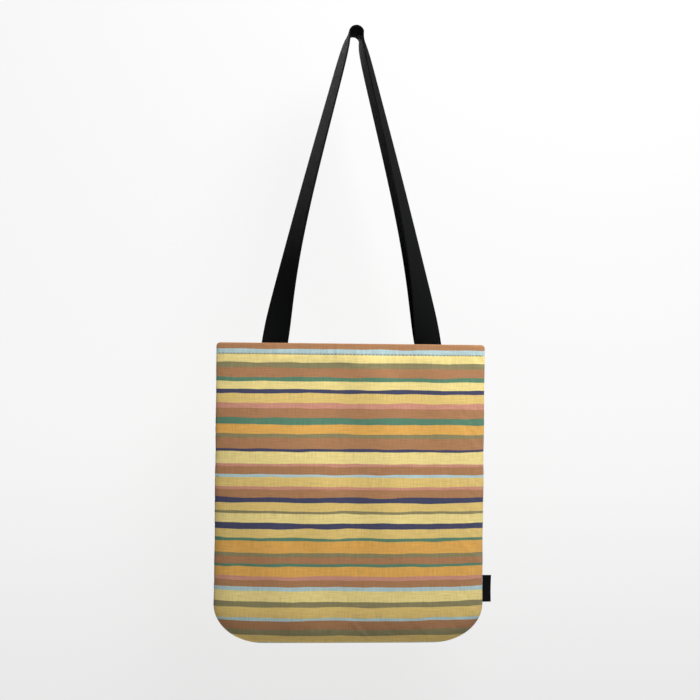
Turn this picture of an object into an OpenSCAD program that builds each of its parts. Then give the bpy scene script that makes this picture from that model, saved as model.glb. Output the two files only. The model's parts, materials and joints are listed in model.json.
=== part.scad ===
// Canvas tote bag with two webbing handles, hung from a peg.
// Origin: the middle of the peg seat, on the axis of the round peg that both handles hang over.
// +Z is up, -Y is the front of the bag, +X is the bag's right side as seen from the front.

/* [Bag] */
// Width across the side seams, measured flat
bag_w = 330; // [260:1:420]
// Height from the hem's top edge to the bottom seam
bag_h = 367; // [280:1:440]
// Thickness of the cloth
cloth_t = 0.8; // [0.5:0.1:1.2]
// How far each panel stands out at the mouth
mouth_depth = 10; // [8:0.5:16]
// How far each panel stands out at its fullest, in the lower third
belly_depth = 20; // [14:0.5:32]
// Width of the rounded bottom corner
corner_w = 62; // [36:1:70]
// Height of the rounded bottom corner
corner_h = 48; // [34:1:60]
// Gap left between the two panels along their seam
seam_gap = 0.5; // [0.4:0.1:0.8]

/* [Hem and seams] */
// Depth of the turned-down hem
hem_h = 16; // [12:1:24]
// Distance of the hem's line of stitches below the top edge
hem_stitch_drop = 14; // [10:0.5:22]
// Width of the overlocked seam allowance inside the bag
allowance_w = 10; // [7:0.5:14]
// Thickness of the two overlocked layers together
allowance_t = 1.4; // [1:0.1:1.8]
// Gap between a seam allowance and the cloth round it
allowance_gap = 1.6; // [1.4:0.1:2.4]
// Thickness of the sewing thread
thread_d = 0.5; // [0.4:0.1:0.8]
// Length of one modelled run of stitches
stitch_run = 9; // [6:0.5:14]

/* [Handles] */
// Width of the webbing
strap_w = 32; // [22:1:40]
// Thickness of the webbing
strap_t = 1.8; // [1.2:0.1:2.6]
// Height of the peg's axis above the hem's top edge
strap_drop = 375; // [250:1:450]
// Distance of each strap's middle from the middle of the bag, at the hem
strap_x = 94; // [70:1:105]
// Depth of the sewn strap end below the hem's top edge
strap_end_h = 22; // [18:1:40]
// Distance of the upper row of tack stitches below the hem's top edge
tack_drop = 4; // [3:0.5:8]
// Gap between the two handles where they lie side by side on the peg
handle_gap = 0.6; // [0.4:0.1:1.2]
// Gap between a free loop and its sewn end, at the hem
fold_gap = 0.5; // [0.4:0.1:1]

/* [Peg seat] */
// Radius of the peg that the handles hang over
peg_r = 7.5; // [5:0.5:12]
// Angle of webbing that lies round the peg
wrap_angle = 152; // [130:1:165]

/* [Side label] */
// How far the folded ribbon stands out of the side seam
label_w = 10.5; // [8:0.5:18]
// Height of the ribbon
label_h = 33; // [20:1:50]
// Height of the ribbon's lower edge above the bottom seam
label_up = 50; // [49:1:120]
// Thickness of the folded ribbon
label_t = 0.8; // [0.6:0.1:1.2]
// Gap between the ribbon's fold line and the seam
label_gap = 0.5; // [0.4:0.1:0.8]

/* [Hidden] */

half_w = bag_w / 2;
hem_z = -strap_drop;                  // top edge of the hem
bottom_z = hem_z - bag_h;             // bottom seam
corner_z = bottom_z + corner_h;       // where the straight sides end
side_power = 3;                       // how flat the middle of the bag's plan is
edge_power = 0.6;                     // how sharply the plan turns at the side seams
across = 22;                          // cells across a panel
down = 12;                            // cells down the straight part of a panel
round_down = 8;                       // cells round the bottom
layer_gap = 0.15;                     // gap between layers of one body that lie on each other
seam_in = cloth_t + allowance_gap;    // from the bag's outline to an allowance's outer edge
facing_inset = seam_in + allowance_w + 1.5;  // where the hem facing stops, short of the seams
stitch_share = 0.7;                   // share of a stitch's pitch that its thread shows
seam_line_in = 3;                     // seam stitches, in from the allowance's outer edge
tack_margin = 3;                      // tack stitches, in from the webbing's edges
tack_run = 5;                         // length of one modelled run of tack stitches

// ---- The bag's shape -------------------------------------------------------------------------

// Smooth step from 0 to 1
function ease(t) = t * t * (3 - 2 * t);

// How far the middle of a panel stands out at height z, above the rounded bottom
function depth_at(z) =
    mouth_depth + (belly_depth - mouth_depth) * ease(min(1, (hem_z - z) / (bag_h - corner_h)));

// Half the bag's width at a height: full above the corners, an ellipse round them
function round_sin(z) = max(0, min(1, (corner_z - z) / corner_h));
function half_width_at(z) = half_w - corner_w * (1 - sqrt(1 - pow(round_sin(z), 2)));

// Share of the full depth that the plan has at a share u of the half width
function plan(u) = pow(max(0, 1 - pow(abs(u), side_power)), edge_power);

// Distance of the cloth's outer face from the middle plane at x, z, on the straight part
function face_y(x, z) = depth_at(z) * plan(x / half_w);

// Rows of a panel: [z, half width, depth], with the outline moved in by `inset`
function rows(inset, z_top) = concat(
    [for (i = [0:down - 1]) let (z = z_top + (corner_z - z_top) * i / down)
        [z, half_w - inset, depth_at(z) - inset]],
    [for (i = [0:round_down]) let (a = 90 * i / round_down)
        [corner_z - (corner_h - inset) * sin(a),
         half_w - inset - corner_w * (1 - cos(a)),
         (depth_at(corner_z) - inset) * cos(a)]]
);

// Columns of a panel, closer together towards the side seams
function columns() = [for (j = [0:across]) sin(-90 + 180 * j / across)];

// One skin of the front panel as a grid of points
function skin(inset) = [for (r = rows(inset, hem_z)) for (u = columns())
    [r[1] * u, -seam_gap / 2 - r[2] * plan(u), r[0]]];

// Faces of a closed sheet made of an outer and an inner grid of the same size
function sheet_faces(rows_n, cols_n) =
    let (n = rows_n * cols_n, last = (rows_n - 1) * cols_n)
    concat(
        [for (i = [0:rows_n - 2]) for (j = [0:cols_n - 2]) let (a = i * cols_n + j)
            each [[a + cols_n + 1, a + cols_n, a], [a + 1, a + cols_n + 1, a]]],
        [for (i = [0:rows_n - 2]) for (j = [0:cols_n - 2]) let (a = n + i * cols_n + j)
            each [[a + cols_n, a + cols_n + 1, a], [a + cols_n + 1, a + 1, a]]],
        [for (j = [0:cols_n - 2]) each [[n + j + 1, j + 1, j], [n + j, n + j + 1, j]]],
        [for (j = [last:last + cols_n - 2]) each [[n + j + 1, n + j, j], [j + 1, n + j + 1, j]]],
        [for (i = [0:rows_n - 2]) let (a = i * cols_n)
            each [[n + a + cols_n, n + a, a], [a + cols_n, n + a + cols_n, a]]],
        [for (i = [0:rows_n - 2]) let (a = i * cols_n + cols_n - 1)
            each [[n + a + cols_n, a + cols_n, a], [n + a, n + a + cols_n, a]]]
    );

module panel() {
    n_rows = down + round_down + 1;
    polyhedron(concat(skin(0), skin(cloth_t)), sheet_faces(n_rows, across + 1), convexity = 4);
}

module front_panel() { color([0.80, 0.62, 0.34]) panel(); }
module back_panel() { color([0.80, 0.62, 0.34]) mirror([0, 1, 0]) panel(); }

// ---- Layers that lie against the inside of a panel -------------------------------------------

// A strip of the front panel's shape, from x0 to x1 and z0 down to z1, whose outer face lies
// `inset` inside the panel's outer face
module layer(x0, x1, z0, z1, inset, thick, cols_n, rows_n) {
    function at(i, j, d) = let (
        x = x0 + (x1 - x0) * j / (cols_n - 1),
        z = z0 + (z1 - z0) * i / (rows_n - 1))
        [x, -seam_gap / 2 - face_y(x, z) + d, z];
    outer = [for (i = [0:rows_n - 1]) for (j = [0:cols_n - 1]) at(i, j, inset)];
    inner = [for (i = [0:rows_n - 1]) for (j = [0:cols_n - 1]) at(i, j, inset + thick)];
    polyhedron(concat(outer, inner), sheet_faces(rows_n, cols_n), convexity = 4);
}

facing_in = cloth_t + layer_gap;
strap_in = facing_in + cloth_t + layer_gap;
facing_x = half_w - facing_inset;

module hem() {
    layer(-facing_x, facing_x, hem_z, hem_z - hem_h, facing_in, cloth_t, across + 1, 3);
}
module front_hem() { color([0.86, 0.78, 0.62]) hem(); }
module back_hem() { color([0.86, 0.78, 0.62]) mirror([0, 1, 0]) hem(); }

// Sewn end of one strap, on the side given by the sign of `side`
module handle_end(side) {
    color([0.07, 0.07, 0.07])
        layer(side * strap_x - strap_w / 2, side * strap_x + strap_w / 2,
              hem_z, hem_z - strap_end_h, strap_in, strap_t, 5, 4);
}
module front_left_handle_end() { handle_end(-1); }
module front_right_handle_end() { handle_end(1); }
module back_left_handle_end() { mirror([0, 1, 0]) handle_end(-1); }
module back_right_handle_end() { mirror([0, 1, 0]) handle_end(1); }

// ---- Seam allowances inside the bag ----------------------------------------------------------

seam_steps = 12;                          // steps round each bottom corner

// Outline of one rounded bottom corner, moved in by d, from the side seam down to the bottom
function corner_path(d, side) = [for (i = [0:seam_steps]) let (a = 90 * i / seam_steps)
    [side * (half_w - d - corner_w * (1 - cos(a))), corner_z - (corner_h - d) * sin(a)]];

module side_seam(side) {
    color([0.86, 0.78, 0.62])
        translate([side * (half_w - seam_in - allowance_w / 2), 0, (hem_z - hem_h + corner_z) / 2])
            cube([allowance_w, allowance_t, hem_z - hem_h - corner_z], center = true);
}
module left_side_seam() { side_seam(-1); }
module right_side_seam() { side_seam(1); }

module bottom_seam() {
    left_out = corner_path(seam_in, -1);
    right_out = corner_path(seam_in, 1);
    left_in = corner_path(seam_in + allowance_w, -1);
    right_in = corner_path(seam_in + allowance_w, 1);
    n = len(left_out) - 1;
    color([0.86, 0.78, 0.62])
        rotate([90, 0, 0]) linear_extrude(allowance_t, center = true)
            polygon(concat(
                left_out,
                [for (i = [n:-1:0]) right_out[i]],
                right_in,
                [for (i = [n:-1:0]) left_in[i]]));
}

// ---- Handles ---------------------------------------------------------------------------------

leave = wrap_angle / 2;                           // angle from the top where the webbing leaves the peg
crown_r = peg_r + strap_t / 2;                    // radius of the webbing's middle line on the peg
crown_y = -(strap_w + handle_gap) / 2;            // middle of the front handle on the peg
leg_rings = 26;
peg_lap = 0.3;                                    // how far a leg runs into the webbing on the peg
leg_top = [-crown_r * sin(leave), crown_r * cos(leave)];
leg_slope = cos(leave) / sin(leave);              // sideways run per unit of fall at the peg
hem_slope = 0.14;                                 // sideways run per unit of fall at the hem
leg_foot_z = hem_z + fold_gap;
leg_fall = leg_top[1] - leg_foot_z;
foot_y = -seam_gap / 2 - face_y(strap_x, hem_z) + strap_in + strap_t / 2;

// Middle line of the left leg: x by a cubic with the two end slopes, t = 0 at the peg
function leg_x(t) =
    leg_top[0] * (1 + t * t * (2 * t - 3)) - strap_x * t * t * (3 - 2 * t)
    - leg_slope * leg_fall * t * pow(1 - t, 2) - hem_slope * leg_fall * t * t * (t - 1);
function leg_z(t) = leg_top[1] - leg_fall * t;

// Angle by which the webbing has turned from edge-on at the peg to flat at the hem
function leg_turn(t) = 14 * (1 - exp(-t / 0.03)) / (1 - exp(-1 / 0.03)) + 24 * t + 52 * pow(t, 6);

// Middle of the webbing from front to back: its inner edge stays clear of the other handle's
function leg_y(t) = let (a = leg_turn(t))
    -(strap_w * cos(a) + strap_t * sin(a) + handle_gap) / 2
    + (foot_y + (strap_t + handle_gap) / 2) * pow(t, 8);

// Lean of the webbing from the vertical, seen from the front
function leg_lean(t) = atan2(leg_x(t) - leg_x(t + 0.002), 0.002 * leg_fall);

// Four corners of the left leg's section at t, in the plane square to its lean
function leg_ring(t) = let (
        lean = t == 0 ? 90 - leave : leg_lean(min(t, 0.998)) * (1 - ease(max(0, (t - 0.9) / 0.1))),
        a = leg_turn(t),
        wide = [sin(a) * cos(lean), -cos(a), -sin(a) * sin(lean)],
        thick = [-cos(a) * cos(lean), -sin(a), cos(a) * sin(lean)],
        mid = [leg_x(t), leg_y(t), leg_z(t)])
    [for (c = [[1, 1], [1, -1], [-1, -1], [-1, 1]])
        mid + wide * (c[0] * strap_w / 2) + thick * (c[1] * strap_t / 2)];

module leg() {
    steps = [for (i = [0:leg_rings]) i / leg_rings];
    // the first ring lies inside the webbing on the peg, so the two are always one piece
    lap = peg_lap * [cos(leave), 0, sin(leave)];
    points = [for (t = steps) each [for (p = leg_ring(t)) t == 0 ? p + lap : p]];
    last = 4 * leg_rings;
    polyhedron(points, concat(
        [[2, 1, 0], [3, 2, 0]],
        // both broad faces are split along the same diagonal, so that the twist keeps its thickness
        [for (i = [0:leg_rings - 1]) for (k = [0:3]) let (a = 4 * i + k, b = 4 * i + (k + 1) % 4)
            each k == 3 ? [[b, a + 4, a], [b, b + 4, a + 4]] : [[b + 4, a + 4, a], [b, b + 4, a]]],
        [[last + 1, last + 2, last], [last + 2, last + 3, last]]), convexity = 6);
}

// The webbing that lies round the peg, a true part-cylinder inside and out
module crown() {
    translate([0, crown_y, 0]) rotate([90, 0, 0])
        rotate_extrude(angle = wrap_angle, start = 90 - leave, $fn = 96)
            translate([peg_r, -strap_w / 2]) square([strap_t, strap_w]);
}

module handle() {
    crown();
    leg();
    mirror([1, 0, 0]) leg();
}
module front_handle() { color([0.07, 0.07, 0.07]) handle(); }
module back_handle() { color([0.07, 0.07, 0.07]) mirror([0, 1, 0]) handle(); }

// ---- Side label ------------------------------------------------------------------------------

module side_label() {
    fold_x = half_w + label_gap + label_w;
    color([0.05, 0.05, 0.05])
        translate([0, 0, bottom_z + label_up]) {
            translate([half_w + label_gap, -label_t / 2, 0])
                cube([label_w - label_t / 2, label_t, label_h]);
            translate([fold_x - label_t / 2, 0, 0]) cylinder(d = label_t, h = label_h, $fn = 24);
        }
}

// ---- Sewing thread ---------------------------------------------------------------------------

// A row of short raised stitches on the outside of the front panel, at height z
module thread_row(z, x_from, x_to) {
    n = floor((x_to - x_from) / stitch_run);
    pitch = (x_to - x_from) / n;
    for (i = [0:n - 1]) {
        x = x_from + pitch * (i + 0.5);
        run = pitch * stitch_share;
        y0 = face_y(x - run / 2, z);
        y1 = face_y(x + run / 2, z);
        translate([x, -seam_gap / 2 - (y0 + y1) / 2 - thread_d / 2 - layer_gap, z])
            rotate([0, 0, -atan2(y1 - y0, run)])
                cube([run, thread_d, thread_d], center = true);
    }
}
module hem_thread() {
    thread_row(hem_z - hem_stitch_drop, -facing_x, facing_x);
}
module front_hem_thread() { color([0.72, 0.55, 0.30]) hem_thread(); }
module back_hem_thread() { color([0.72, 0.55, 0.30]) mirror([0, 1, 0]) hem_thread(); }

// The lockstitch line beside a side seam's overlocked edge, on the face of the allowance
module seam_thread(side) {
    z0 = hem_z - hem_h - seam_line_in;
    z1 = corner_z + seam_line_in;
    n = floor((z0 - z1) / stitch_run);
    pitch = (z0 - z1) / n;
    color([0.90, 0.86, 0.76])
        for (i = [0:n - 1])
            translate([side * (half_w - seam_in - seam_line_in),
                       -allowance_t / 2 - thread_d / 4, z0 - pitch * (i + 0.5)])
                cube([thread_d, thread_d / 2, pitch * stitch_share], center = true);
}
module left_seam_thread() { seam_thread(-1); }
module right_seam_thread() { seam_thread(1); }

module bottom_seam_thread() {
    x1 = half_w - corner_w;
    n = floor(2 * x1 / stitch_run);
    pitch = 2 * x1 / n;
    color([0.90, 0.86, 0.76])
        for (i = [0:n - 1])
            translate([-x1 + pitch * (i + 0.5),
                       -allowance_t / 2 - thread_d / 4, bottom_z + seam_in + seam_line_in])
                cube([pitch * stitch_share, thread_d / 2, thread_d], center = true);
}

// Two short rows of tack stitches across the inside of a strap end
module tack(side) {
    span = strap_w - 2 * tack_margin;
    n = floor(span / tack_run);
    pitch = span / n;
    color([0.12, 0.12, 0.12])
        for (d = [tack_drop, hem_stitch_drop])
            for (i = [0:n - 1]) {
                x = side * strap_x - span / 2 + pitch * (i + 0.5);
                y = -seam_gap / 2 - face_y(x, hem_z - d) + strap_in + strap_t;
                lean = atan2(face_y(x + 1, hem_z - d) - face_y(x - 1, hem_z - d), 2);
                translate([x, y + thread_d / 2 + layer_gap, hem_z - d])
                    rotate([0, 0, -lean])
                        cube([pitch * stitch_share, thread_d, thread_d], center = true);
            }
}
module front_left_tack() { tack(-1); }
module front_right_tack() { tack(1); }
module back_left_tack() { mirror([0, 1, 0]) tack(-1); }
module back_right_tack() { mirror([0, 1, 0]) tack(1); }

// ---- Nodes -----------------------------------------------------------------------------------

front_panel();
back_panel();
front_hem();
back_hem();
left_side_seam();
right_side_seam();
bottom_seam();
front_handle();
back_handle();
front_left_handle_end();
front_right_handle_end();
back_left_handle_end();
back_right_handle_end();
side_label();
front_hem_thread();
back_hem_thread();
left_seam_thread();
right_seam_thread();
bottom_seam_thread();
front_left_tack();
front_right_tack();
back_left_tack();
back_right_tack();
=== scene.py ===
# %% [markdown]
# # A striped canvas tote bag, hung by its handles
#
# The bag is two printed panels sewn together at the sides and the bottom, with a turned-down hem
# round the mouth. Two loops of black webbing are sewn inside the hem and hang side by side over a
# round peg. A small blank ribbon is caught in the right side seam.
#
# The pieces made here lie exactly where that model says, so nothing has to be fitted afterwards.

# %% Load the frame
import json
import math

import bpy
import numpy as np
from mathutils import Matrix, Vector


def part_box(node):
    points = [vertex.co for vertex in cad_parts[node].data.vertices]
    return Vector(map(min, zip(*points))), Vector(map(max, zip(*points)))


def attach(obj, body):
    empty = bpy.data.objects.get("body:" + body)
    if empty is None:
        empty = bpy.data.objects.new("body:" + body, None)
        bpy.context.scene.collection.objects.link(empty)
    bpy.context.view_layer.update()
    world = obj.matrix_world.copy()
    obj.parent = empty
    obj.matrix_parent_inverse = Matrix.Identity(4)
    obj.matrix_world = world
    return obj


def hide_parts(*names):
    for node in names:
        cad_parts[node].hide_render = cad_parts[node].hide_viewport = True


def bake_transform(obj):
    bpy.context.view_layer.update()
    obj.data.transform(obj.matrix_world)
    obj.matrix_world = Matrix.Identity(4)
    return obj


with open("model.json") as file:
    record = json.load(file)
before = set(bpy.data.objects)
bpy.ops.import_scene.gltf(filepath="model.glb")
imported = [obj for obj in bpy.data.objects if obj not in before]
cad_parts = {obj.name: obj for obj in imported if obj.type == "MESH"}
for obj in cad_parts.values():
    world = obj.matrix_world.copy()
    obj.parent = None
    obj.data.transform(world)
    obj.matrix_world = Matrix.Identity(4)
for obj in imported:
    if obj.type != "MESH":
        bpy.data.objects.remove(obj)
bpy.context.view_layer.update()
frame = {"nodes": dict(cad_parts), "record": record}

# %% [markdown]
# ## Sizes that the pieces share
#
# The panels, seams and straps all refer to the same few lines: the hem's top edge, the bottom seam,
# the side seams and the peg's axis. They are read once here. How far a panel stands out at a height
# isn't a corner of any box, so a small helper measures it on the frame's own panel.

# %% Read the bag's sizes from the frame
panel_low, panel_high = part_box("front_panel")
hem_low, hem_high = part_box("front_hem")
seam_low, seam_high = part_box("left_side_seam")
end_low, end_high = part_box("front_right_handle_end")
label_low, label_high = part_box("side_label")

HALF_WIDTH = panel_high.x
HEM_Z = panel_high.z
BOTTOM_Z = panel_low.z
CORNER_Z = seam_low.z
SEAM_GAP = -panel_high.y
HEM_HEIGHT = hem_high.z - hem_low.z
STRAP_X = (end_low.x + end_high.x) / 2
STRAP_WIDTH = end_high.x - end_low.x
STRAP_END = end_high.z - end_low.z
PEG_RADIUS = frame["record"]["mounts"][0]["dims"]["r_mm"] / 1000


def panel_stands_out(z, reach=0.0005):
    """How far the frame's front panel stands out from the middle plane at a height."""
    points = [v.co for v in frame["nodes"]["front_panel"].data.vertices if abs(v.co.z - z) < reach]
    return max(-p.y for p in points) - SEAM_GAP


def panel_half_width(z, reach=0.0005):
    """Half the width of the frame's front panel at a height."""
    return max(v.co.x for v in frame["nodes"]["front_panel"].data.vertices if abs(v.co.z - z) < reach)


MOUTH_DEPTH = panel_stands_out(HEM_Z)
BELLY_DEPTH = panel_stands_out(CORNER_Z)
CORNER_WIDTH = HALF_WIDTH - panel_half_width(BOTTOM_Z)
CORNER_HEIGHT = CORNER_Z - BOTTOM_Z
print("mouth and belly stand out by", round(1000 * MOUTH_DEPTH, 1), round(1000 * BELLY_DEPTH, 1), "mm")

# %% [markdown]
# ## The camera
#
# The camera looks at the front, turned a few degrees to the bag's left, and is rolled slightly,
# because a bag on a peg rarely hangs quite plumb. Its place is worked out from where the peg should
# sit in the view, so the framing stays right if the bag changes.

# %% Place the camera
VIEW_WIDTH = 0.859        # width of what the camera sees at the bag
CAMERA_DISTANCE = 1.75
CAMERA_TURN = math.radians(-4)
CAMERA_ROLL = math.radians(0.6)
PEG_RIGHT = 0.0058        # the peg's axis, right of the view's middle
PEG_UP = 0.3828           # and above it

camera_data = bpy.data.cameras.new("camera")
camera_data.lens = camera_data.sensor_width * CAMERA_DISTANCE / VIEW_WIDTH
camera = bpy.data.objects.new("camera", camera_data)
bpy.context.scene.collection.objects.link(camera)
bpy.context.scene.camera = camera

back = Vector((math.sin(CAMERA_TURN), -math.cos(CAMERA_TURN), 0))
right = Vector((math.cos(CAMERA_TURN), math.sin(CAMERA_TURN), 0))
up = Vector((0, 0, 1))
rolled_right = right * math.cos(CAMERA_ROLL) + up * math.sin(CAMERA_ROLL)
rolled_up = up * math.cos(CAMERA_ROLL) - right * math.sin(CAMERA_ROLL)
aim = -rolled_right * PEG_RIGHT - rolled_up * PEG_UP
camera.matrix_world = Matrix.Translation(aim + back * CAMERA_DISTANCE) @ Matrix(
    (rolled_right, rolled_up, back)).transposed().to_4x4()
print("camera lens:", round(camera_data.lens, 1), "mm")

# %% [markdown]
# ## Node graphs written as expressions
#
# Materials and stitches are both made of nodes. Wiring each node by hand hides the idea behind
# dozens of lines, so two small classes do the wiring. `Graph.add` adds any node, with its settings
# first and then its inputs. `Wire` wraps a socket, and arithmetic on it adds the Math nodes.


# %% Define the graph helpers
class Wire:
    """One output of a node, with Python's arithmetic on it."""

    def __init__(self, graph, socket):
        self.graph = graph
        self.socket = socket

    def math(self, operation, *others):
        values = {0: self, **{i + 1: other for i, other in enumerate(others)}}
        return self.graph.add("ShaderNodeMath", {"operation": operation}, values)

    def __add__(self, other): return self.math("ADD", other)
    def __radd__(self, other): return self.math("ADD", other)
    def __sub__(self, other): return self.math("SUBTRACT", other)
    def __mul__(self, other): return self.math("MULTIPLY", other)
    def __truediv__(self, other): return self.math("DIVIDE", other)
    def __neg__(self): return self.math("MULTIPLY", -1.0)
    def __abs__(self): return self.math("ABSOLUTE")
    def __rsub__(self, other): return self.math("MULTIPLY", -1.0) + other
    def __gt__(self, other): return self.math("GREATER_THAN", other)
    def sin(self): return self.math("SINE")
    def fract(self): return self.math("FRACT")
    def floor(self): return self.math("FLOOR")
    def root(self): return self.math("SQRT")

    def ramp(self, low, high):
        """0 below low, 1 above high, smooth between."""
        return self.graph.add("ShaderNodeMapRange", {"interpolation_type": "SMOOTHSTEP"},
                              {"Value": self, "From Min": low, "From Max": high})


class Graph:
    """A node tree with one method that adds any node."""

    def __init__(self, tree):
        self.tree = tree

    def add(self, kind, settings=None, inputs=None, output=0):
        node = self.tree.nodes.new(kind)
        for name, value in (settings or {}).items():
            if name == "stops":
                self.set_stops(node.color_ramp, value)
            else:
                setattr(node, name, value)
        for key, value in (inputs or {}).items():
            if isinstance(value, Wire):
                self.tree.links.new(value.socket, node.inputs[key])
            else:
                node.inputs[key].default_value = value
        return Wire(self, node.outputs[output]) if len(node.outputs) else node

    def set_stops(self, color_ramp, stops):
        """Gives a ramp its (position, colour) stops."""
        color_ramp.interpolation = "CONSTANT"
        while len(color_ramp.elements) < len(stops):
            color_ramp.elements.new(1.0)
        for element, (position, colour) in zip(color_ramp.elements, stops):
            element.position = position
            element.color = colour

    def noise(self, x, y, z=0.0, detail=2.0):
        """Smooth noise from 0 to 1 on a plane, whose features are about one unit of x and y across."""
        place = self.add("ShaderNodeCombineXYZ", {}, {"X": x, "Y": y, "Z": z})
        return self.add("ShaderNodeTexNoise", {}, {"Vector": place, "Scale": 1.0, "Detail": detail})

    def mix(self, share, a, b, blend="MIX"):
        """Colour a where share is 0, and b where it is 1."""
        return self.add("ShaderNodeMix", {"data_type": "RGBA", "blend_type": blend},
                        {0: share, 6: a, 7: b}, output=2)


def srgb(red, green, blue):
    """A colour given from 0 to 255, as the light that a shader works with."""
    light = [v / 255 / 12.92 if v < 11 else ((v / 255 + 0.055) / 1.055) ** 2.4 for v in (red, green, blue)]
    return (*light, 1.0)


def new_material(name):
    """An empty node material, as the material and its graph."""
    material = bpy.data.materials.new(name)
    material.use_nodes = True
    material.node_tree.nodes.clear()
    return material, Graph(material.node_tree)


def shade(graph, colour, roughness, height=None, depth=0.0002, **constants):
    """Ends a graph in one shader, with a bump from the height if there is one."""
    inputs = {"Base Color": colour, "Roughness": roughness}
    if height is not None:
        inputs["Normal"] = graph.add("ShaderNodeBump", {},
                                     {"Strength": 1.0, "Distance": depth, "Height": height})
    names = {"sheen": "Sheen Weight", "sheen_roughness": "Sheen Roughness", "specular": "Specular IOR Level"}
    inputs.update({names[key]: value for key, value in constants.items()})
    surface = graph.add("ShaderNodeBsdfPrincipled", {}, inputs)
    graph.add("ShaderNodeOutputMaterial", {}, {"Surface": surface})


def cloth_place(graph):
    """Where a point lies on the flat cloth, in millimetres: across, and down from the hem."""
    uv = graph.add("ShaderNodeUVMap", {"uv_map": "cloth"})
    split = uv.graph.tree.nodes.new("ShaderNodeSeparateXYZ")
    graph.tree.links.new(uv.socket, split.inputs[0])
    return Wire(graph, split.outputs[0]) * 1000, Wire(graph, split.outputs[1]) * 1000


# %% [markdown]
# ## The stripes
#
# The cloth is printed with hand-painted stripes that run straight across it. They are drawn by a
# rule, from the turned-over hem down to the bottom seam: a wide stripe of a warm paint, then a narrow
# one of another paint, and so on. No stripe has the paint of the last wide or narrow one above it.

# %% Draw the stripes
PAINTS = {
    "olive": srgb(146, 138, 98), "sky": srgb(186, 213, 215), "ochre": srgb(234, 177, 88),
    "navy": srgb(68, 70, 101), "cream": srgb(247, 226, 148), "brown": srgb(180, 130, 89),
    "green": srgb(92, 137, 110), "rose": srgb(212, 150, 128), "gold": srgb(234, 203, 122),
}
WIDE_PAINTS = ("ochre", "cream", "gold", "brown")
NARROW_PAINTS = ("olive", "sky", "navy", "green", "rose")
WIDE_STRIPE = (8.0, 15.0)     # least and greatest width, in millimetres
NARROW_STRIPE = (3.0, 8.0)
TURNED_OVER = 20.0            # millimetres of the print that are turned over inside the hem
PRINT_END = 400.0             # where the print ends, in millimetres below the hem's top edge
STRIPE_SEED = 11
RAMP_STOPS = 26               # stripes that one colour ramp holds


def draw_stripes():
    """The stripes as (paint, start in millimetres below the hem's top edge), from the top down."""
    draw = np.random.default_rng(STRIPE_SEED)
    kinds = ((WIDE_PAINTS, WIDE_STRIPE), (NARROW_PAINTS, NARROW_STRIPE))
    stripes = []
    last_used = ["", ""]
    place = -TURNED_OVER
    while place < PRINT_END:
        kind = len(stripes) % 2
        paints, widths = kinds[kind]
        paint = str(draw.choice([paint for paint in paints if paint != last_used[kind]]))
        stripes.append((paint, place))
        last_used[kind] = paint
        place += draw.uniform(*widths)
    return stripes


STRIPES = draw_stripes()
print(len(STRIPES), "stripes are printed on the cloth")

# %% [markdown]
# ## The printed cloth
#
# The print is looked up by height in a few colour ramps, because one ramp holds at most 32 stops.
# Noise moves each stripe's edges by up to two millimetres, as a brush does. The weave is a plain one,
# over and under, so it is a chequer of cells, each a short ridge of the thread that lies on top
# there. It stays a bump, because a thread is half a millimetre across, but the folds and puckers of
# the bag are real geometry. The weave's low parts and the hem's needle holes are also painted
# darker in the colour, as painted shade.


# %% Paint the stripes
def stripe_colour(graph, down):
    """The paint at a height, looked up in as many ramps as the stripes fill."""
    length = TURNED_OVER + PRINT_END
    share = (down + TURNED_OVER) / length
    colour = None
    for first in range(0, len(STRIPES), RAMP_STOPS):
        part = STRIPES[first:first + RAMP_STOPS]
        stops = [((start + TURNED_OVER) / length, PAINTS[paint]) for paint, start in part]
        ramp = graph.add("ShaderNodeValToRGB", {"stops": stops}, {"Fac": share})
        colour = ramp if colour is None else graph.mix(share > stops[0][0], colour, ramp)
    return colour


def painted_stripes(graph, across, down):
    """The whole print at a point of the cloth."""
    slow_waver = graph.noise(across / 42, down / 8, 3.1, 1.0) * 3.6
    quick_waver = graph.noise(across / 9, down / 3, 8.2) * 0.5
    colour = stripe_colour(graph, down + slow_waver + quick_waver - 2.05)
    bristle_marks = graph.noise(across / 34, down / 1.1, 6.0, 3.0) * 0.16
    cloudy = graph.noise(across / 90, down / 60, 1.0) * 0.10
    return graph.mix(1.0, colour, grey(graph, bristle_marks + cloudy + 0.87), "MULTIPLY")


def grey(graph, value):
    """A number as a grey colour."""
    return graph.add("ShaderNodeCombineColor", {}, {"Red": value, "Green": value, "Blue": value})


def weave_height(across, down, pitch):
    """Height of a plain weave, -1 to 1: in every other cell the upright thread lies on top."""
    cell_across, cell_down = across / pitch, down / pitch
    upright_on_top = ((cell_across.floor() + cell_down.floor()) * 0.5).fract() * 2
    upright = (cell_across.fract() * math.pi).sin()
    level = (cell_down.fract() * math.pi).sin()
    on_top = upright * (level * 0.6 + 0.4)
    otherwise = level * (upright * 0.6 + 0.4)
    return (upright_on_top * (on_top - otherwise) + otherwise) * 2 - 1


# %% Mix the printed cloth
THREAD_PITCH = 0.52       # millimetres from one thread of the canvas to the next
HEM_STITCH = 0.014        # how far the hem's stitches lie below its top edge
HEM_PITCH = 0.0046        # from one stitch of the hem to the next


def yarn_slubs(graph, across, down):
    """Threads of uneven thickness, both ways, about 1 on average."""
    weft = graph.noise(across / 18, down / 1.1, 4.0, 3.0)
    warp = graph.noise(across / 1.1, down / 18, 7.0, 3.0)
    return weft + warp


def needle_holes(across, down):
    """1 where the hem's needle went through the cloth, between two stitches."""
    from_row = abs(down - 1000 * HEM_STITCH)
    from_hole = abs((across / (1000 * HEM_PITCH)).fract() - 0.5) * (1000 * HEM_PITCH)
    return (1 - from_row.ramp(0.4, 1.2)) * (1 - from_hole.ramp(0.4, 1.4))


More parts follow.
